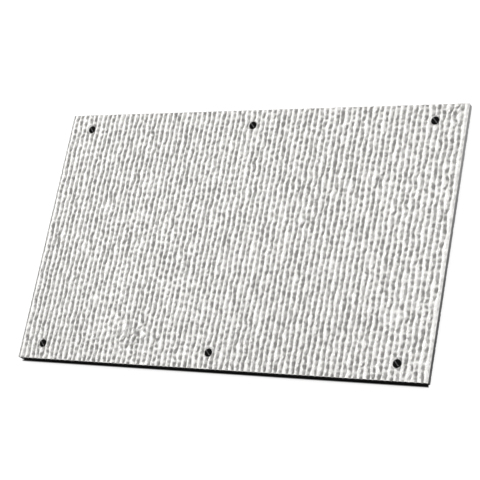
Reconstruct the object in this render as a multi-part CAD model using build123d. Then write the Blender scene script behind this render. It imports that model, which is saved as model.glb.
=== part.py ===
# Exhaust heat shield: a flat insulated panel that is screwed under a vehicle floor, with its ridged face
# towards the heat.
#
# It comes apart into three kinds of piece:
#   embossed_facing   one thin aluminium sheet, embossed all over with long parallel ridges
#   insulation_mat    the dark insulating mat that the facing is bonded to, valley by valley
#   mounting_screws   six slotted pan-head tapping screws, put through both layers near the long edges
#
# Frame: X runs along the long side, Y along the short side and the ridges, and Z out of the ridged face.
# The panel lies on the blunt ends of its own screws. The origin is on that surface, under the middle of
# the panel.

from build123d import *
import math
import os

# Panel, in millimetres
panel_length = 508.0  # long side, 20 inches
panel_width = 305.0  # short side, 12 inches
mat_thickness = 6.35  # a quarter of an inch

# Embossed facing
foil_thickness = 0.3
ridge_pitch = 6.59
ridge_width = 4.7  # across the foot of a ridge, outside
ridge_height = 1.8  # above the flat valleys
crown_width = 3.6  # across the top of the flanks
crown_rise = 0.25  # of the round crown above the flanks

# Screws, to the sizes of a common 4.2 mm slotted pan-head tapping screw
head_radius = 4.0
head_height = 2.4
rim_height = 0.9  # upright side of the head, below its dome
slot_width = 1.2
slot_depth = 1.1
slot_angle = -48.0  # degrees from the long side
neck_radius = 1.75  # plain neck inside the panel
thread_radius = 2.1
thread_reach = 6.35  # how far the threaded end stands out of the mat
tip_radius = 1.4  # blunt end
tip_length = 1.8

# Where the screws go
left_inset = 29.94  # on the crest of a ridge, as is the next
right_inset = 36.53
row_inset = 18.5  # from each long edge
hole_clearance = 0.1  # round the thread, which has to pass the hole
seat_margin = 0.6  # flat left round a screw head, where the ridges are pressed down
seat_flare = 0.7  # widening of a pressed seat for each millimetre of its height

# Levels
mat_bottom = thread_reach
mat_top = mat_bottom + mat_thickness
foil_top = mat_top + foil_thickness
ridge_top = foil_top + ridge_height


def ridge_centres():
    """X of each ridge: as many whole pitches as the panel holds, centred on it."""
    count = int(panel_length // ridge_pitch)
    first = -(count - 1) * ridge_pitch / 2
    return [first + n * ridge_pitch for n in range(count)]


def screw_places():
    """Centres of the screws: left, middle and right, in a row along each long edge."""
    left = -panel_length / 2 + left_inset
    right = panel_length / 2 - right_inset
    row = panel_width / 2 - row_inset
    return [(x, y) for y in (-row, row) for x in (left, (left + right) / 2, right)]


def at_screws(solid):
    return [Pos(x, y, 0) * solid for x, y in screw_places()]


def ridge_edges(centre):
    """The outside of one ridge, from left to right: a straight flank, a low round crown and a flank."""
    foot = ridge_width / 2
    shoulder = crown_width / 2
    shoulder_level = ridge_top - crown_rise
    left = (centre - shoulder, shoulder_level)
    right = (centre + shoulder, shoulder_level)
    return [
        Line((centre - foot, foil_top), left),
        ThreePointArc(left, (centre, ridge_top), right),
        Line(right, (centre + foot, foil_top)),
    ]


def filled_shape():
    """The whole sheet as if its ridges were solid, drawn in the XZ plane."""
    edges = []
    x = -panel_length / 2
    for centre in ridge_centres():
        edges.append(Line((x, foil_top), (centre - ridge_width / 2, foil_top)))
        edges += ridge_edges(centre)
        x = centre + ridge_width / 2
    right = panel_length / 2
    edges.append(Line((x, foil_top), (right, foil_top)))
    edges.append(Line((right, foil_top), (right, mat_top)))
    edges.append(Line((right, mat_top), (-right, mat_top)))
    edges.append(Line((-right, mat_top), (-right, foil_top)))
    return Plane.XZ * make_face(edges)


def hollow_shape():
    """The hollow under a ridge at X = 0: the ridge's outside, carried on down, drawn in by the foil."""
    foot = ridge_width / 2
    flank_height = ridge_height - crown_rise
    spread = (ridge_width - crown_width) / 2 / flank_height
    below = mat_top - 2 * foil_thickness
    base = foot + (foil_top - below) * spread
    skirt = [
        Line((foot, foil_top), (base, below)),
        Line((base, below), (-base, below)),
        Line((-base, below), (-foot, foil_top)),
    ]
    outside = make_face(ridge_edges(0) + skirt)
    return Plane.XZ * offset(outside, -foil_thickness, kind=Kind.INTERSECTION)


def seat_cone(spread, floor):
    """A cone that opens upwards from the given floor, wider by spread than a pressed seat's inside."""
    radius = head_radius + seat_margin + spread
    top = ridge_top + foil_thickness
    low = radius + (floor - foil_top) * seat_flare
    high = radius + (top - foil_top) * seat_flare
    return Pos(0, 0, floor) * Cone(low, high, top - floor, align=(Align.CENTER, Align.CENTER, Align.MIN))


def embossed_facing():
    """The sheet: ridges with a hollow under each, which stops short of the flared seats of the screws."""
    filled = extrude(filled_shape(), panel_width / 2, both=True)
    slant_thickness = foil_thickness * math.hypot(1, seat_flare)
    cups = at_screws(seat_cone(slant_thickness, mat_top - 2 * foil_thickness))
    ridge_hollow = extrude(hollow_shape(), panel_width / 2 + foil_thickness, both=True)
    hollows = []
    for centre in ridge_centres():
        hollows += (Pos(centre, 0, 0) * ridge_hollow - cups).solids()
    seats = at_screws(seat_cone(0, foil_top))
    hole = Pos(0, 0, mat_top) * Cylinder(thread_radius + hole_clearance, 4 * foil_thickness)
    return filled - hollows - seats - at_screws(hole)


def insulation_mat():
    slab = Pos(0, 0, mat_bottom) * Box(
        panel_length, panel_width, mat_thickness, align=(Align.CENTER, Align.CENTER, Align.MIN)
    )
    hole = Pos(0, 0, mat_bottom) * Cylinder(
        thread_radius + hole_clearance, mat_thickness, align=(Align.CENTER, Align.CENTER, Align.MIN)
    )
    return slab - at_screws(hole)


def mounting_screw():
    """One screw in its place above the origin: half its outline turned round Z, then the slot cut."""
    head_top = foil_top + head_height
    rim_top = foil_top + rim_height
    shank = Polyline(
        (0, head_top),
        (0, 0),
        (tip_radius, 0),
        (thread_radius, tip_length),
        (thread_radius, mat_bottom),
        (neck_radius, mat_bottom),
        (neck_radius, foil_top),
        (head_radius, foil_top),
        (head_radius, rim_top),
    )
    dome_rise = head_height - rim_height
    dome_radius = (head_radius**2 + dome_rise**2) / (2 * dome_rise)
    half_way = head_radius / 2
    half_way_level = head_top - dome_radius + math.sqrt(dome_radius**2 - half_way**2)
    dome = ThreePointArc((head_radius, rim_top), (half_way, half_way_level), (0, head_top))
    turned = revolve(Plane.XZ * make_face([shank, dome]), Axis.Z)
    slot = Pos(0, 0, head_top) * Box(
        3 * head_radius, slot_width, 2 * slot_depth, rotation=(0, 0, slot_angle)
    )
    return turned - slot


def main():
    os.makedirs("parts", exist_ok=True)
    export_step(embossed_facing(), "parts/embossed_facing.step")
    export_step(insulation_mat(), "parts/insulation_mat.step")
    export_step(Compound(children=at_screws(mounting_screw())), "parts/mounting_screws.step")


main()
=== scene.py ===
import math

import bmesh
import bpy
import numpy as np
from mathutils import Matrix, Vector


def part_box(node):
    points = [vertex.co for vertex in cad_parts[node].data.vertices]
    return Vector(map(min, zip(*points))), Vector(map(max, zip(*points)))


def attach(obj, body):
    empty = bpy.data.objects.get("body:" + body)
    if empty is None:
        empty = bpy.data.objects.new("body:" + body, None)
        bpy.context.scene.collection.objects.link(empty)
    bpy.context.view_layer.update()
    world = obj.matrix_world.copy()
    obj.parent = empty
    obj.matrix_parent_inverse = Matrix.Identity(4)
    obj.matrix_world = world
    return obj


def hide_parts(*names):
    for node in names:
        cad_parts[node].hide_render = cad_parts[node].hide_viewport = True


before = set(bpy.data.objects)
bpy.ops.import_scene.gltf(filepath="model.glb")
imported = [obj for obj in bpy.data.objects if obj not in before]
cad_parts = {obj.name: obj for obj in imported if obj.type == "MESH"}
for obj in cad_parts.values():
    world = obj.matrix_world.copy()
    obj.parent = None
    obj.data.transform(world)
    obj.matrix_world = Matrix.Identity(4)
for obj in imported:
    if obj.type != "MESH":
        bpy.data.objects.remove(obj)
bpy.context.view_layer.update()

# The panel's own levels and sides come from the frame. All lengths are in metres.
(LEFT, FRONT, MAT_TOP), (RIGHT, BACK, RIDGE_TOP) = [tuple(c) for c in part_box("embossed_facing")]
MAT_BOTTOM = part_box("insulation_mat")[0][2]
MM = 0.001
MERGE = 0.0001 * MM  # points nearer than this are one
LEAST = 1e-6  # keeps a division from zero
SEED = 24

# Embossing
RIDGE_PITCH = 6.59 * MM
FOIL = 0.3 * MM
RIDGES = int((RIGHT - LEFT) // RIDGE_PITCH)
FIRST_GROOVE = -RIDGES * RIDGE_PITCH / 2
VALLEY = MAT_TOP + FOIL
CROWN_RISE = 0.25 * MM  # from a ridge's sides to its middle
CRUMPLE = 0.05 * MM
GROOVE_FLOOR = 0.35 * MM  # half width of a groove's flat floor
NECK_MOUTH = 1.7 * MM  # half width where its sides reach the ridge, between dashes
DASH_MOUTH = 2.5 * MM  # the same in the middle of a strong dash
NECK_DEPTH = 0.1  # of the ridge's height, where the dash has no strength
DASH_DEPTH = 0.95  # how much of the height the dash's strength adds
SEAT_FADE = (-0.3 * MM, 0.9 * MM)  # the mark of the dashes comes in over this, from a seat's foot

# The chain of dashes in each groove
DASHES = 60  # more than a groove has room for
CHAIN_START = 10 * MM  # the first dash begins at random within this, in front of the panel
DASH_LENGTH = (5.8 * MM, 10.2 * MM)
DASH_POWER = (0.62, 1.0)  # a dash's strength in its middle
NECK_POWER = (0.0, 0.65)  # the strength at its ends, as a share of that
CALM_NECK = 0.6  # the share that the necks are drawn towards where the panel is calm
CALM_PULL = 0.7  # how far they are drawn where it is calmest
HUMP = 1.5  # power of the sine, above 1 for a narrower hump
STEP_ASIDE = 0.54 * MM  # standard deviation
PATCH_SWERVE = 2.2  # how much further the chains step aside in the middle of a patch
WAVES = 3
WAVE_LENGTH = (18 * MM, 60 * MM)
WAVE_SIZE = 0.17 * MM
MOST_ASIDE = 2.3 * MM
LAST_GROOVE = 0.45  # strength of the groove beside the right edge

# Middle and radius of the patches where the grooves are most disturbed
PATCHES = [((-0.109, -0.118), 0.02), ((0.236, 0.143), 0.01)]
# Lengths of the waves by which the grooves turn from broken to even, along X and along Y
CALM_LENGTH = 0.4
CALM_WIDTH = 0.9

# The facing's grid
COLUMN_WAYS = np.array([0, 0.13, 0.29, 0.5, 0.71, 0.87])  # from one groove's line to the next
ROW_STEP = 1.62 * MM
SEAT_ROW_STEP = 0.95 * MM  # beside the screws
SEAT_REACH = 2.5 * MM  # how far beyond a seat the rows stay close
SNAP = 0.5 * MM  # points as near as this to a seat's circle are moved onto it
POCKET_ROWS = 4  # rows for which the hollows under the ridges stay open at each end

# Mat
MAT_CORNER = 0.8 * MM
CORNER_POINTS = 5
MAT_STEP = 1.2 * MM
# The cut edge from bottom to top: share of the thickness, and how far in it lies in millimetres
MAT_PROFILE = [(0, 0.7), (0, 0.25), (0.06, 0.05), (0.2, 0), (0.4, 0), (0.6, 0), (0.8, 0), (1, 0), (1, 0.7)]
FIBRE_DEPTH = 0.9 * MM
FIBRE_WAVES = 14
FIBRE_TURNS = (20, 400)
FIBRE_TILT = 6.0  # radians over the thickness, at most

# Screws
LEFT_INSET = 29.94 * MM
RIGHT_INSET = 36.53 * MM
ROW_INSET = 18.5 * MM
HEAD_RADIUS = 4.0 * MM
HEAD_HEIGHT = 2.4 * MM
RIM_HEIGHT = 0.9 * MM
RIM_BEVEL = 0.15 * MM
SLOT_WIDTH = 1.2 * MM
SLOT_DEPTH = 1.1 * MM
SLOT_ANGLE = math.radians(-48)
SLOT_EDGE = math.asin(SLOT_WIDTH / 2 / HEAD_RADIUS)  # round the rim from the slot's middle to its wall
SLOT_WALL = 0.999 * SLOT_EDGE  # the wall's foot, so that it stands almost upright
SIDE_CHORDS = 10
CHORD_POINTS = 15
SEAT_RADIUS = HEAD_RADIUS + 0.6 * MM
SEAT_FLARE = 0.7  # its wall's run outwards for each step up
NECK_RADIUS = 1.75 * MM
THREAD_RADIUS = 2.1 * MM
CORE_RADIUS = 1.55 * MM
THREAD_PITCH = 1.4 * MM
THREAD_CREST = 3 / 64  # half width of the crest's flat, in pitches
THREAD_FOOT = 23 / 64  # half width of its foot, in pitches
THREAD_END = 0.6 * MM  # the thread fades out over this below the mat
TIP_RADIUS = 1.4 * MM
TIP_LENGTH = 1.8 * MM
SHANK_ROWS = 46

# The facing's looks. Distances are in millimetres here, as its marks are. The noises lie round 0.5.
FOIL_TONES = ((0.87, 0.86, 0.842, 1), (0.945, 0.934, 0.915, 1))
# Painted shade: the grooves are painted grey where shade falls in them
GROOVE_SHADE = (0.295, 0.29, 0.282, 1)
GROOVE_FADE = (2.2, 0.5)  # the distances from a groove's line where its painted shade begins and is full
RAGGED = 4.2  # how far noise moves the sides of the painted shade
DASH_SPREAD = 0.5  # how much wider the painted shade is at a strong dash
DASH_FADE = (-0.15, 0.8)  # the strengths of a dash where the painted shade begins and is full
BREAKS = (0.36, 0.52, 0.75, 1)  # two levels of noise, and how much of the painted shade they leave
FLECKS = (0.5, 0.64)  # the levels of noise where a fleck begins and is full
FLECK_SHARE = 0.2  # how dull the flecks are in even embossing
PATCH_SHARE = 0.55  # how much duller in the middle of a patch
CLOUDS = (0.42, 0.7)
CLOUD_SHARE = 0.22
# Painted shade: near black round each screw's seat, where the head meets the foil, and on the foil's
# underside
PAINTED_SHADE_LEVEL = 0.008
SEAT_SHADE_FADE = (SEAT_RADIUS / MM + 0.4, SEAT_RADIUS / MM - 0.1)  # distances from a screw's axis
FOIL_ROUGHNESS = (0.27, 0.55)  # where bright and where dull
CREASE_SHARE = 2.2  # of the bump, for the creases' noise
DULL_SHARE = 0.6  # and for the dips where it is dull

# The mat's looks: pairs of greys, and the levels of noise between which they change
MAT_BLACKS = (0.003, 0.03)
BLACK_STREAKS = (0.5, 0.68)
# Painted light: the cut edges of the short ends are painted paler, as if lit from the side, and palest
# towards the back
SHORT_END_LIGHTS = (0.07, 0.36)
LIT_END_STREAKS = (0.3, 0.7)
FELT_LEVELS = (0.01, 0.06)
FELT_MOTTLE = (0.35, 0.7)
FELT_REACH = 0.2 * MM  # up the cut edge
LIT_END_AT_BACK = 0.7
LIT_END_RUN = (FRONT, BACK * 1.3)  # Y between which the painted light on the short ends turns to the back's level
SPECK_LEVEL = 0.06
SPECKS = (0.66, 0.78)
SPECK_SHARE = 0.4

# The screws' looks
STEEL_BLACKS = (0.002, 0.006)
STEEL_WEAR = (0.3, 0.7)
STEEL_ROUGHNESS = (0.38, 0.55)
WORN_STEEL = 0.25
SLOT_WEAR = (0.3, 0.9)

# Floor, and the rectangle of painted shade on its colour under the panel
FLOOR_HALF = 8.0
FLOOR_WHITE = 0.8
FLOOR_SHADE = 0.02
FLOOR_GLOW = 0.8  # of white, as the camera sees it
SHADE_LEFT = LEFT - 3 * MM
SHADE_RIGHT = RIGHT - 4.4 * MM
SHADE_FRONT = FRONT - 0.8 * MM
SHARP_FADE = (-0.8 * MM, 1.0 * MM)  # over the shade's side, from inside to outside
LEFT_SLOPE = 0.35  # the left side fades more slowly by this
SOFT_FADE = (-12 * MM, 0.5 * MM)
SOFT_RIGHT = RIGHT - 3.9 * MM
SOFT_FROM = (FRONT + 2 * MM, FRONT + 20 * MM)  # the soft fades take over between these

# Surroundings, camera and lamps
WORLD_LEVEL = 0.3
CEILING_LEVELS = (0.5, 0.9)  # at the horizon and overhead
CEILING_RISE = (0.0, 0.8)  # of the ray's direction, between those two
CAMERA_PLACE = (0.829, -0.5006, 1.3814)
CAMERA_WAY = (-0.49089, 0.29712, -0.81899)
CAMERA_UP = (-0.01367, 0.93731, 0.34823)
SENSOR_WIDTH = 36  # in millimetres, as is the next
FOCAL_LENGTH = 113.9
# Place, size and power in watts
LAMPS = {"key": ((-1.05, 0.85, 1.8), 2.0, 9.5), "side": ((1.6, 0.4, 1.4), 1.3, 6)}

rng = np.random.default_rng(SEED)


def screw_places():
    """X and Y of each screw: left, middle and right in a row along each long edge."""
    left, right = LEFT + LEFT_INSET, RIGHT - RIGHT_INSET
    rows = (FRONT + ROW_INSET, BACK - ROW_INSET)
    return [(x, y) for y in rows for x in (left, (left + right) / 2, right)]


def smooth(value, low, high):
    """0 below low, 1 above high, and an S curve between them."""
    t = np.clip((value - low) / (high - low), 0, 1)
    return t * t * (3 - 2 * t)


# Meshes


def new_piece(name, points, faces, node):
    """A mesh object at the origin that rides on the body and stands for the CAD node of that name."""
    mesh = bpy.data.meshes.new(name)
    mesh.from_pydata(points.reshape(-1, 3), [], faces)
    mesh.update()
    piece = bpy.data.objects.new(name, mesh)
    bpy.context.scene.collection.objects.link(piece)
    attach(piece, "root")
    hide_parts(node)
    return piece


def add_mark(piece, name, values):
    """A number on each point of the mesh, which its finish reads by that name."""
    mark = piece.data.attributes.new(name, "FLOAT", "POINT")
    mark.data.foreach_set("value", values.ravel().astype(np.float32))


def grid_faces(rows, columns, close_rows=False, close_columns=False, first=0):
    """Quads between neighbouring points of a grid that is numbered row by row."""
    down = np.arange(rows if close_rows else rows - 1)
    across = np.arange(columns if close_columns else columns - 1)
    r, c = np.meshgrid(down, across, indexing="ij")
    r2, c2 = (r + 1) % rows, (c + 1) % columns
    quads = np.stack([r * columns + c, r * columns + c2, r2 * columns + c2, r2 * columns + c], -1)
    return (quads.reshape(-1, 4) + first).tolist()


def close_mesh(piece, finish, sharp):
    """Joins points that lie on each other, drops faces left with no area and turns the others outwards.

    The shading is then smooth, but for edges of more than sharp degrees, and the finish goes on.
    """
    work = bmesh.new()
    work.from_mesh(piece.data)
    bmesh.ops.remove_doubles(work, verts=work.verts, dist=MERGE)
    bmesh.ops.dissolve_degenerate(work, edges=work.edges, dist=MERGE)
    bmesh.ops.recalc_face_normals(work, faces=work.faces)
    work.to_mesh(piece.data)
    work.free()
    piece.data.shade_smooth()
    piece.data.set_sharp_from_angle(angle=math.radians(sharp))
    piece.data.materials.append(finish)


# Facing


def disturbance(x, y):
    """0 in even embossing, and up to 1 by a bell curve of the distance to the middle of a patch."""
    bells = [np.exp(-((x - a) ** 2 + (y - b) ** 2) / radius**2) for (a, b), radius in PATCHES]
    return np.max(bells, axis=0)


def calm(x, y):
    """0 to 1 by one slow wave along each side: 1 where the grooves run on most evenly."""
    along = np.sin(2 * np.pi * x / CALM_LENGTH)
    across = np.cos(2 * np.pi * (y - FRONT) / CALM_WIDTH)
    return 0.5 + 0.5 * along * across


def dash_pattern(y):
    """The dashes of every groove at each Y: how strong the dash is there and how far it lies aside.

    Each groove is a chain of dashes of random length. Within a dash of phase 0 to 1, the strength is a
    narrowed sine hump that stands on the weaker necks at its two ends, which are less weak where the
    panel is calm. The chain steps aside from one dash to the next by an S curve of the phase, further in
    a disturbed patch, and slow sine waves wander under it. The first and last grooves run straight. Row k
    of each result is groove k, counted from the left edge.
    """
    chain = (RIDGES + 1, DASHES)
    k = np.arange(RIDGES + 1)[:, None]
    x, y = LEFT + RIDGE_PITCH * k, y[None, :]
    lengths = rng.uniform(*DASH_LENGTH, chain)
    ends = FRONT - CHAIN_START * rng.random(k.shape) + np.cumsum(lengths, 1)
    index = (y[..., None] >= ends[:, None, :]).sum(-1)
    phase = np.clip(1 - (ends[k, index] - y) / lengths[k, index], 0, 1)
    step = smooth(phase, 0, 1)
    power = rng.uniform(*DASH_POWER, chain)[k, index]
    necks = rng.uniform(*NECK_POWER, chain)
    neck = (1 - step) * necks[k, index] + step * necks[k, index + 1]
    neck += (CALM_NECK - neck) * CALM_PULL * calm(x, y)
    strength = power * (neck + (1 - neck) * np.sin(np.pi * phase) ** HUMP)
    strength[-1] *= LAST_GROOVE
    aside = rng.normal(0, STEP_ASIDE, chain)
    shift = (1 - step) * aside[k, index] + step * aside[k, index + 1]
    shift *= 1 + PATCH_SWERVE * disturbance(x, y)
    waves = rng.uniform(*WAVE_LENGTH, (RIDGES + 1, 1, WAVES))
    starts = rng.uniform(0, 2 * np.pi, (RIDGES + 1, 1, WAVES))
    wander = np.sin(2 * np.pi * y[..., None] / waves + starts).sum(-1)
    shift = np.clip(shift + WAVE_SIZE * wander, -MOST_ASIDE, MOST_ASIDE)
    shift[[0, -1]] = 0
    return strength, shift


def facing_rows():
    """Y of the grid's rows: even, and closer together beside the screws."""
    reach = SEAT_RADIUS + SEAT_REACH
    near, far = FRONT + ROW_INSET, BACK - ROW_INSET
    stops = [FRONT, near - reach, near + reach, far - reach, far + reach, BACK]
    steps = [ROW_STEP, SEAT_ROW_STEP, ROW_STEP, SEAT_ROW_STEP, ROW_STEP]
    parts = [
        np.linspace(a, b, max(2, round((b - a) / step)) + 1)[:-1]
        for a, b, step in zip(stops[:-1], stops[1:], steps)
    ]
    return np.append(np.concatenate(parts), BACK)


def groove_columns(rows):
    """X, the distance from the groove's line and the dash's strength, as arrays of rows by columns.

    Columns lie at fixed fractions of the way from each groove's line to the next, so they bend with the
    grooves, and belong to the nearer line. The first and the last are the sheet's straight sides.
    """
    strength, shift = dash_pattern(rows)
    line = FIRST_GROOVE + np.arange(RIDGES + 1)[:, None] * RIDGE_PITCH + shift
    way = COLUMN_WAYS[:, None]
    x = (line[:-1, None] * (1 - way) + line[1:, None] * way).reshape(-1, len(rows))
    side = np.ones((1, len(rows)))
    x = np.concatenate([LEFT * side, x, line[-1:], RIGHT * side])
    owner = np.add.outer(np.arange(RIDGES), COLUMN_WAYS >= 0.5).ravel()
    owner = np.concatenate([[0], owner, [RIDGES, RIDGES]])
    return x.T, np.abs(x - line[owner]).T, strength[owner].T


def nearest_screw(x, y):
    """The distance from each point to the nearest screw's axis, and that screw's X and Y."""
    places = np.array(screw_places())
    away = np.hypot(x[..., None] - places[:, 0], y[..., None] - places[:, 1])
    nearest = away.argmin(-1)
    return away.min(-1), places[nearest, 0], places[nearest, 1]


def round_seats(x, y):
    """Moves the points that nearly lie on a seat's foot or rim circle onto that circle."""
    away, screw_x, screw_y = nearest_screw(x, y)
    rim = SEAT_RADIUS + (RIDGE_TOP - VALLEY) * SEAT_FLARE
    for circle in (SEAT_RADIUS, rim):
        close = np.abs(away - circle) < SNAP
        ratio = np.where(close, circle / np.maximum(away, MERGE), 1)
        x = screw_x + (x - screw_x) * ratio
        y = screw_y + (y - screw_y) * ratio
        away = np.hypot(x - screw_x, y - screw_y)
    return x, y


def facing_surface(rows):
    """Points and marks of the embossed face, as arrays of rows by columns.

    The height falls from the crown to the valley by an S curve of the distance to the groove's line,
    wider and deeper where the dash is strong, and the ridge's top falls a little from its middle to its
    sides. Round a screw it stays under a flared cone. The marks named gap and away are the distances to
    the groove's line and to the nearest screw's axis, in millimetres.
    """
    x, gap, dash = groove_columns(rows)
    x, y = round_seats(x, np.repeat(rows[:, None], x.shape[1], 1))
    ridge = smooth(gap, GROOVE_FLOOR, NECK_MOUTH + (DASH_MOUTH - NECK_MOUTH) * dash)
    depth = np.clip(NECK_DEPTH + DASH_DEPTH * dash, 0, 1) * (1 - ridge)
    fall = CROWN_RISE * smooth(RIDGE_PITCH / 2 - gap, 0, RIDGE_PITCH / 2)
    crumple = CRUMPLE * rng.random(x.shape)
    z = RIDGE_TOP - (RIDGE_TOP - VALLEY) * depth - (fall + crumple) * ridge
    away = nearest_screw(x, y)[0]
    z = np.clip(z, VALLEY, VALLEY + np.maximum(0, away - SEAT_RADIUS) / SEAT_FLARE)
    dash = dash * smooth(away - SEAT_RADIUS, *SEAT_FADE)
    marks = {"dash": dash, "gap": gap / MM, "away": away / MM, "patch": disturbance(x, y)}
    return np.stack([x, y, z], -1), marks


def underside(surface, gap):
    """The foil's other face: its height taken a foil's thickness nearer the groove, and as much lower."""
    under = surface.copy()
    rise = surface[..., 2] - VALLEY
    full = np.maximum(smooth(gap, GROOVE_FLOOR, DASH_MOUTH), LEAST)
    drawn_in = smooth(gap - FOIL, GROOVE_FLOOR, DASH_MOUTH)
    under[..., 2] = MAT_TOP + np.maximum(0, rise * np.minimum(1, drawn_in / full))
    return under


def make_facing(finish):
    """The sheet as one closed loop of rows: over the face, in under its open ends and along the mat.

    The hollows under the ridges are open for a few rows at each end and closed behind that. One face
    closes each of the two straight sides. The mark named hidden is 1 on the foil's underside, which the
    finish paints near black as shade, and the other marks have that far from any groove's line and any
    screw.
    """
    y = facing_rows()
    top, marks = facing_surface(y)
    under = underside(top, marks["gap"] * MM)
    back_pocket = under[: -POCKET_ROWS - 1 : -1]
    front_pocket = under[POCKET_ROWS - 1 :: -1]
    flat_back = back_pocket[-1:].copy()
    flat_front = front_pocket[:1].copy()
    flat_back[..., 2] = MAT_TOP
    flat_front[..., 2] = MAT_TOP
    rows = np.concatenate([top, back_pocket, flat_back, flat_front, front_pocket])
    count, columns = rows.shape[:2]
    faces = grid_faces(count, columns, close_rows=True)
    faces.append((np.arange(count) * columns).tolist())
    faces.append((np.arange(count)[::-1] * columns + columns - 1).tolist())
    piece = new_piece("facing", rows, faces, "embossed_facing")
    marks["hidden"] = np.zeros_like(marks["gap"])
    beneath = {"hidden": 1.0, "gap": 9.0, "away": 9.0, "dash": 0.0, "patch": 0.0}
    rest = (count - len(y)) * columns
    for name, values in marks.items():
        add_mark(piece, name, np.append(values.ravel(), np.full(rest, beneath[name])))
    close_mesh(piece, finish, sharp=70)


# Mat


def mat_outline():
    """Points round the mat's rectangle with small round corners, as X, Y and the way out of the edge."""
    signs = [(1, 1), (-1, 1), (-1, -1), (1, -1)]
    halves = np.array([(RIGHT - LEFT) / 2, (BACK - FRONT) / 2]) - MAT_CORNER
    turns = np.linspace(0, math.pi / 2, CORNER_POINTS)
    places, ways = [], []
    for number, sign in enumerate(signs):
        angle = turns + number * math.pi / 2
        out = np.stack([np.cos(angle), np.sin(angle)], -1)
        corner = halves * sign + MAT_CORNER * out
        following = halves * signs[(number + 1) % 4] + MAT_CORNER * out[-1]
        count = int(2 * halves[number % 2] / MAT_STEP)
        t = np.linspace(0, 1, count + 2)[1:-1, None]
        places += [corner, corner[-1] * (1 - t) + following * t]
        ways += [out, np.repeat(out[-1:], count, 0)]
    return np.concatenate(places), np.concatenate(ways)


def fibre_depth(count, levels):
    """How far fibres are missing from the cut edge, at each level and each of count points round it.

    It is the size of the mean of several sines. The angle of each is a random whole number of turns for
    one way round, with a random tilt over the thickness and a random start.
    """
    run = np.arange(count) / count * 2 * math.pi
    turns = rng.integers(*FIBRE_TURNS, FIBRE_WAVES)
    tilt = rng.uniform(-FIBRE_TILT, FIBRE_TILT, FIBRE_WAVES)
    start = rng.uniform(0, 2 * math.pi, FIBRE_WAVES)
    angle = run[None, :, None] * turns + levels[:, None, None] * tilt + start
    return FIBRE_DEPTH * np.abs(np.sin(angle).mean(-1))


def make_mat(finish):
    """The mat: its outline carried up the cut edge's profile, with two flat faces that close it.

    The mark named short_end is 1 on the cut edges of the two short sides.
    """
    places, ways = mat_outline()
    levels, inset = np.array(MAT_PROFILE).T
    missing = fibre_depth(len(places), levels)
    missing[0] = 0
    missing[-2:] = 0
    depth = inset[:, None] * MM + missing
    plan = places - ways * depth[..., None]
    height = MAT_BOTTOM + levels * (MAT_TOP - MAT_BOTTOM)
    points = np.concatenate([plan, np.broadcast_to(height[:, None, None], depth.shape + (1,))], -1)
    rows, columns = depth.shape
    faces = grid_faces(rows, columns, close_columns=True)
    faces.append(np.arange(columns)[::-1].tolist())
    faces.append((np.arange(columns) + (rows - 1) * columns).tolist())
    piece = new_piece("insulation", points, faces, "insulation_mat")
    short_end = np.repeat(np.abs(ways[None, :, 0]), rows, 0)
    short_end[[0, -1]] = 0
    add_mark(piece, "short_end", short_end)
    close_mesh(piece, finish, sharp=40)


# Screws


def chord_angles():
    """Angles on the head's rim where chords along the slot start: close steps from one side of the head
    to the slot's edge, the feet of the slot's two walls, and the same steps on its other side."""
    side = np.linspace(-math.pi / 2, -SLOT_EDGE, SIDE_CHORDS)
    return np.concatenate([side, [-SLOT_WALL, SLOT_WALL], -side[::-1]])


def head_top(across):
    """The top of a head about Z, as a grid with a row for each chord, and which points are in the slot.

    The height is a ball's, and between the slot's walls no more than the slot's floor.
    """
    v = HEAD_RADIUS * np.sin(across)
    u = np.sqrt(np.maximum(0, HEAD_RADIUS**2 - v**2))
    grid_u = u[:, None] * np.linspace(1, -1, CHORD_POINTS)
    grid_v = np.repeat(v[:, None], CHORD_POINTS, 1)
    dome = HEAD_HEIGHT - RIM_HEIGHT
    ball = (HEAD_RADIUS**2 + dome**2) / (2 * dome)
    radius = np.minimum(np.hypot(grid_u, grid_v), HEAD_RADIUS)
    rise = np.sqrt(ball**2 - radius**2) - (ball - dome)
    in_slot = np.repeat(np.abs(across)[:, None] < SLOT_EDGE, CHORD_POINTS, 1)
    rise = np.where(in_slot, np.minimum(rise, dome - SLOT_DEPTH), rise)
    return np.stack([grid_u, grid_v, VALLEY + RIM_HEIGHT + rise], -1), in_slot


def shank(ring):
    """A screw below its head's top, as rows round it from the middle of its blunt end up to the rim.

    Under the mat the radius is the core's, plus a flat-topped crest where the height in thread pitches
    less the turn is near a half past a whole number, inside an envelope that narrows to the tip.
    """
    z = np.linspace(0, MAT_BOTTOM, SHANK_ROWS)
    envelope = np.interp(z, [0, TIP_LENGTH], [TIP_RADIUS, THREAD_RADIUS])[:, None]
    turn = z[:, None] / THREAD_PITCH - ring / (2 * math.pi)
    crest = np.clip((THREAD_FOOT - np.abs(turn % 1 - 0.5)) / (THREAD_FOOT - THREAD_CREST), 0, 1)
    core = np.minimum(CORE_RADIUS, envelope)
    thread = core + (envelope - core) * crest * smooth(MAT_BOTTOM - z, 0, THREAD_END)[:, None]
    upper = np.array([
        (NECK_RADIUS, MAT_BOTTOM),
        (NECK_RADIUS, VALLEY),
        (HEAD_RADIUS - RIM_BEVEL, VALLEY),
        (HEAD_RADIUS, VALLEY + RIM_BEVEL),
        (HEAD_RADIUS, VALLEY + RIM_HEIGHT),
    ])
    radii = np.concatenate([0 * thread[:1], thread, np.repeat(upper[:, :1], len(ring), 1)])
    heights = np.concatenate([z[:1], z, upper[:, 1]])
    heights = np.repeat(heights[:, None], len(ring), 1)
    return np.stack([radii * np.cos(ring), radii * np.sin(ring), heights], -1)


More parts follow.
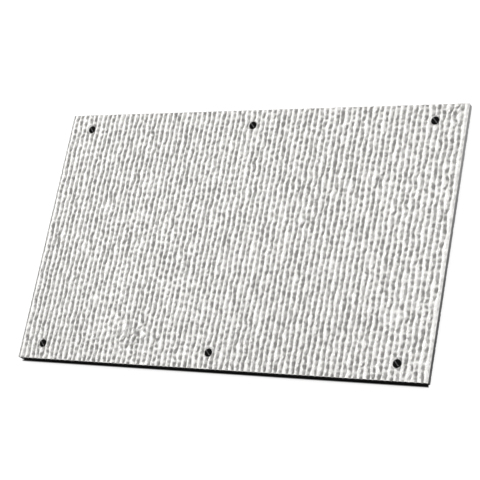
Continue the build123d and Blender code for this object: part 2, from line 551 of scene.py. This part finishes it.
def make_screws(finish):
    """The six screws as separate closed shells in one mesh, all with their slots turned the same way.

    The mark named slot is 1 on the slots' floors.
    """
    across = chord_angles()
    top, in_slot = head_top(across)
    body = shank(np.concatenate([across, (math.pi - across)[::-1][1:-1]]))
    turn = np.array(Matrix.Rotation(SLOT_ANGLE, 3, "Z"))
    points, faces, marks, first = [], [], [], 0
    for x, y in screw_places():
        for grid, slot, closed in ((body, np.zeros(body.shape[:2]), True), (top, in_slot, False)):
            points.append(grid.reshape(-1, 3) @ turn.T + (x, y, 0))
            marks.append(slot.ravel())
            faces += grid_faces(*slot.shape, close_columns=closed, first=first)
            first += slot.size
    piece = new_piece("screws", np.concatenate(points), faces, "mounting_screws")
    add_mark(piece, "slot", np.concatenate(marks))
    close_mesh(piece, finish, sharp=38)


# Finishes


class Wire:
    """A socket's value in a material, so that sums on it add Math nodes."""

    def __init__(self, finish, socket):
        self.finish = finish
        self.socket = socket

    def __add__(self, other):
        return self.finish.maths("ADD", self, other)

    def __radd__(self, other):
        return self.finish.maths("ADD", other, self)

    def __sub__(self, other):
        return self.finish.maths("SUBTRACT", self, other)

    def __rsub__(self, other):
        return self.finish.maths("SUBTRACT", other, self)

    def __mul__(self, other):
        return self.finish.maths("MULTIPLY", self, other)

    def __rmul__(self, other):
        return self.finish.maths("MULTIPLY", other, self)

    def __abs__(self):
        return self.finish.maths("ABSOLUTE", self)


class Finish:
    """The nodes of a material or of the world: the shader's fixed values, and a way to add other nodes."""

    def __init__(self, owner, shader, fixed):
        owner.use_nodes = True
        self.owner = owner
        self.nodes = owner.node_tree.nodes
        self.links = owner.node_tree.links
        self.shader = self.nodes[shader]
        self.drive(**fixed)

    def set(self, socket, value):
        """Links a wire to the socket, or sets a fixed value on it."""
        if isinstance(value, Wire):
            self.links.new(value.socket, socket)
        else:
            socket.default_value = value

    def add(self, kind, settings=None, sockets=None, output=0):
        """A new node with those settings and then those values or wires on its sockets."""
        node = self.nodes.new(kind)
        for name, value in (settings or {}).items():
            setattr(node, name, value)
        for name, value in (sockets or {}).items():
            self.set(node.inputs[name], value)
        return Wire(self, node.outputs[output])

    def drive(self, **values):
        """Feeds the shader's sockets, named with underscores for spaces."""
        for name, value in values.items():
            self.set(self.shader.inputs[name.replace("_", " ")], value)

    def maths(self, operation, *values):
        return self.add("ShaderNodeMath", {"operation": operation}, dict(enumerate(values)))

    def most(self, first, *others):
        """The largest of several values."""
        for other in others:
            first = self.maths("MAXIMUM", first, other)
        return first

    def ramp(self, value, start, end, first=0.0, last=1.0):
        """An S curve of the value, from first at start to last at end. Start may be larger than end."""
        sockets = {"Value": value, "From Min": start, "From Max": end, "To Min": first, "To Max": last}
        return self.add("ShaderNodeMapRange", {"interpolation_type": "SMOOTHSTEP"}, sockets)

    def blend(self, factor, first, second):
        """A colour between two. A Mix node for colours has them on sockets 6 and 7, and output 2."""
        return self.add("ShaderNodeMix", {"data_type": "RGBA"}, {0: factor, 6: first, 7: second}, 2)

    def grey_between(self, factor, levels):
        """A grey between two levels."""
        return self.blend(factor, grey(levels[0]), grey(levels[1]))

    def place(self):
        """Object coordinates."""
        return self.add("ShaderNodeTexCoord", output="Object")

    def part(self, axis):
        """One of the three object coordinates."""
        return self.add("ShaderNodeSeparateXYZ", None, {0: self.place()}, axis)

    def noise(self, grains, detail=2.0, roughness=0.5, stretch=(1, 1, 1), turn=0.0):
        """Noise with about that many grains to a metre, in object coordinates that are turned about Z
        and then scaled by the stretch, so that a number below 1 makes the grains longer that way."""
        turned = self.add("ShaderNodeMapping", None, {"Vector": self.place(), "Rotation": (0, 0, turn)})
        where = self.add("ShaderNodeMapping", None, {"Vector": turned, "Scale": stretch})
        sockets = {"Vector": where, "Scale": grains, "Detail": detail, "Roughness": roughness}
        return self.add("ShaderNodeTexNoise", None, sockets)

    def attribute(self, name):
        """A mark on the mesh's points."""
        return self.add("ShaderNodeAttribute", {"attribute_name": name}, output="Fac")

    def bump(self, height, depth, strength):
        sockets = {"Height": height, "Distance": depth, "Strength": strength}
        return self.add("ShaderNodeBump", None, sockets)

    def ray(self, kind):
        """1 for a ray of that kind, such as Is Camera Ray, and 0 for any other."""
        return self.add("ShaderNodeLightPath", output=kind)


def new_finish(name, **fixed):
    """A material on the usual shader, whose fixed values are named with underscores for spaces."""
    return Finish(bpy.data.materials.new(name), "Principled BSDF", fixed)


def grey(level):
    return (level, level, level, 1.0)


def embossed_foil():
    """Bright crinkled aluminium, with painted shade: grey along its grooves, and near black round each
    screw's seat and on the foil's underside.

    The painted shade is strongest near a groove's line and under a strong dash, with a ragged side and
    paler breaks. Short slanting flecks, most of them in the disturbed patches, and faint clouds are
    greyer and rougher too. Distances are in millimetres, as the marks are.
    """
    foil = new_finish("embossed_foil", Metallic=0.9)
    dash = foil.attribute("dash")
    ragged = (foil.noise(grains=330, stretch=(1, 0.75, 1)) - 0.5) * RAGGED
    gap = foil.attribute("gap") + ragged - dash * DASH_SPREAD
    breaks = foil.ramp(foil.noise(grains=170, detail=1, stretch=(1, 0.8, 1)), *BREAKS)
    # painted shade along the grooves, strongest near a groove's line and under a strong dash
    groove = foil.ramp(gap, *GROOVE_FADE) * foil.ramp(dash, *DASH_FADE) * breaks
    flecks = foil.ramp(foil.noise(grains=380, stretch=(1, 0.45, 1), turn=0.7), *FLECKS)
    flecks = flecks * (foil.attribute("patch") * PATCH_SHARE + FLECK_SHARE)
    clouds = foil.ramp(foil.noise(grains=240, stretch=(1, 0.8, 1)), *CLOUDS) * CLOUD_SHARE
    # painted shade in the grooves, together with the greyer and rougher flecks and clouds
    shade_and_dull = foil.most(groove, flecks, clouds)
    bright = foil.blend(foil.noise(grains=60, detail=4, roughness=0.6), *FOIL_TONES)
    # painted shade: near black on the foil's underside and round each screw's seat
    black = foil.most(foil.attribute("hidden"), foil.ramp(foil.attribute("away"), *SEAT_SHADE_FADE))
    creases = abs(foil.noise(grains=420, detail=4, roughness=0.65) - 0.5)
    crinkle = creases * CREASE_SHARE - shade_and_dull * DULL_SHARE
    foil.drive(
        Base_Color=foil.blend(black, foil.blend(shade_and_dull, bright, GROOVE_SHADE), grey(PAINTED_SHADE_LEVEL)),
        Roughness=foil.ramp(foil.most(shade_and_dull, black), 0, 1, *FOIL_ROUGHNESS),
        Normal=foil.bump(crinkle, depth=0.3 * MM, strength=0.8),
    )
    return foil.owner


def dark_mat():
    """Black needled fibre with a mottled felt back. The cut edges are streaked, and the short ends' cut
    edges are painted paler as painted light, most of all towards the back."""
    mat = new_finish("dark_fibre_mat", Roughness=0.95, Specular_IOR_Level=0.03)
    streaks = mat.noise(grains=420, detail=5, roughness=0.7, stretch=(0.25, 0.25, 2.2))
    specks = mat.ramp(mat.noise(grains=1500), *SPECKS) * SPECK_SHARE
    black = mat.grey_between(mat.ramp(streaks, *BLACK_STREAKS), MAT_BLACKS)
    # painted light on the short ends' cut edges, paler towards the back
    lit_end = mat.grey_between(mat.ramp(streaks, *LIT_END_STREAKS), SHORT_END_LIGHTS)
    lit_end = mat.blend(mat.ramp(mat.part("Y"), *LIT_END_RUN), lit_end, grey(LIT_END_AT_BACK))
    edge = mat.blend(mat.attribute("short_end"), black, lit_end)
    mottle = mat.ramp(mat.noise(grains=900, detail=4, roughness=0.7), *FELT_MOTTLE)
    felt = mat.grey_between(mottle, FELT_LEVELS)
    colour = mat.blend(mat.ramp(mat.part("Z"), MAT_BOTTOM + FELT_REACH, MAT_BOTTOM), edge, felt)
    mat.drive(
        Base_Color=mat.blend(specks, colour, grey(SPECK_LEVEL)),
        Normal=mat.bump(streaks + specks, depth=0.4 * MM, strength=0.8),
    )
    return mat.owner


def black_steel():
    """Black coated steel, worn to a paler grey on the slot's floor."""
    steel = new_finish("black_screw", Specular_IOR_Level=0.06)
    wear = steel.noise(grains=1100, detail=4, roughness=0.6)
    worn = steel.ramp(steel.attribute("slot"), *SLOT_WEAR)
    steel.drive(
        Base_Color=steel.blend(worn, steel.grey_between(wear, STEEL_BLACKS), grey(WORN_STEEL)),
        Roughness=steel.ramp(wear, *STEEL_WEAR, *STEEL_ROUGHNESS),
        Normal=steel.bump(wear, depth=0.05 * MM, strength=0.4),
    )
    return steel.owner


# Stage


def floor_paper():
    """White paper that glows for the camera and in reflections, but not in the shade under the panel.

    The shade's front is sharp, and so are its two ends for the first millimetres behind that. From
    there on the ends fade out softly under the panel, as the back does.
    """
    paper = new_finish("floor_paper", Roughness=0.9, Specular_IOR_Level=0.0, Emission_Strength=FLOOR_GLOW)
    x, y = paper.part("X"), paper.part("Y")
    sharp = paper.most((SHADE_LEFT - x) * LEFT_SLOPE, x - SHADE_RIGHT, SHADE_FRONT - y, y - BACK)
    soft = paper.most(LEFT - x, x - SOFT_RIGHT, y - BACK)
    soft = paper.ramp(soft, *SOFT_FADE) * paper.ramp(y, *SOFT_FROM)
    lit = paper.most(paper.ramp(sharp, *SHARP_FADE), soft)
    seen = paper.most(paper.ray("Is Camera Ray"), paper.ray("Is Glossy Ray"))
    paper.drive(
        # painted shade: the paper's own colour is near black under the panel
        Base_Color=paper.grey_between(lit, (FLOOR_SHADE, FLOOR_WHITE)),
        Emission_Color=paper.grey_between(seen * lit, (0.0, 1.0)),
    )
    return paper.owner


def make_floor(finish):
    """A wide flat floor at the height that the screws' ends stand on."""
    half = FLOOR_HALF
    corners = [(-half, -half, 0), (half, -half, 0), (half, half, 0), (-half, half, 0)]
    mesh = bpy.data.meshes.new("floor")
    mesh.from_pydata(corners, [], [(0, 1, 2, 3)])
    mesh.materials.append(finish)
    floor = bpy.data.objects.new("floor", mesh)
    bpy.context.scene.collection.objects.link(floor)


def make_world():
    """An even surrounding. The camera sees it white, and reflections white at the top and greyer towards
    the horizon, as in a studio with a pale ceiling."""
    world = bpy.data.worlds.new("studio")
    bpy.context.scene.world = world
    air = Finish(world, "Background", {"Strength": 1.0})
    ceiling = air.grey_between(air.ramp(air.part("Z"), *CEILING_RISE), CEILING_LEVELS)
    colour = air.blend(air.ray("Is Glossy Ray"), grey(WORLD_LEVEL), ceiling)
    air.drive(Color=air.blend(air.ray("Is Camera Ray"), colour, grey(1.0)))


def add_lamp(name, place, size, power):
    """A square soft lamp at that place, turned to the panel's middle."""
    data = bpy.data.lights.new(name, "AREA")
    data.shape = "SQUARE"
    data.size = size
    data.energy = power
    lamp = bpy.data.objects.new(name, data)
    lamp.location = place
    lamp.rotation_euler = (-Vector(place)).to_track_quat("-Z", "Y").to_euler()
    bpy.context.scene.collection.objects.link(lamp)


def make_camera():
    """The photograph's view: from the right and above, turned about its axis so that the ridges stand up."""
    data = bpy.data.cameras.new("camera")
    data.sensor_width = SENSOR_WIDTH
    data.lens = FOCAL_LENGTH
    camera = bpy.data.objects.new("camera", data)
    forward = Vector(CAMERA_WAY).normalized()
    right = forward.cross(Vector(CAMERA_UP)).normalized()
    up = right.cross(forward)
    turn = Matrix((right, up, -forward)).transposed().to_4x4()
    camera.matrix_world = Matrix.Translation(CAMERA_PLACE) @ turn
    bpy.context.scene.collection.objects.link(camera)
    bpy.context.scene.camera = camera


make_camera()
make_facing(embossed_foil())
make_mat(dark_mat())
make_screws(black_steel())
make_floor(floor_paper())
make_world()
for name, (place, size, power) in LAMPS.items():
    add_lamp(name, place, size, power)
bpy.context.scene.view_settings.view_transform = "Standard"
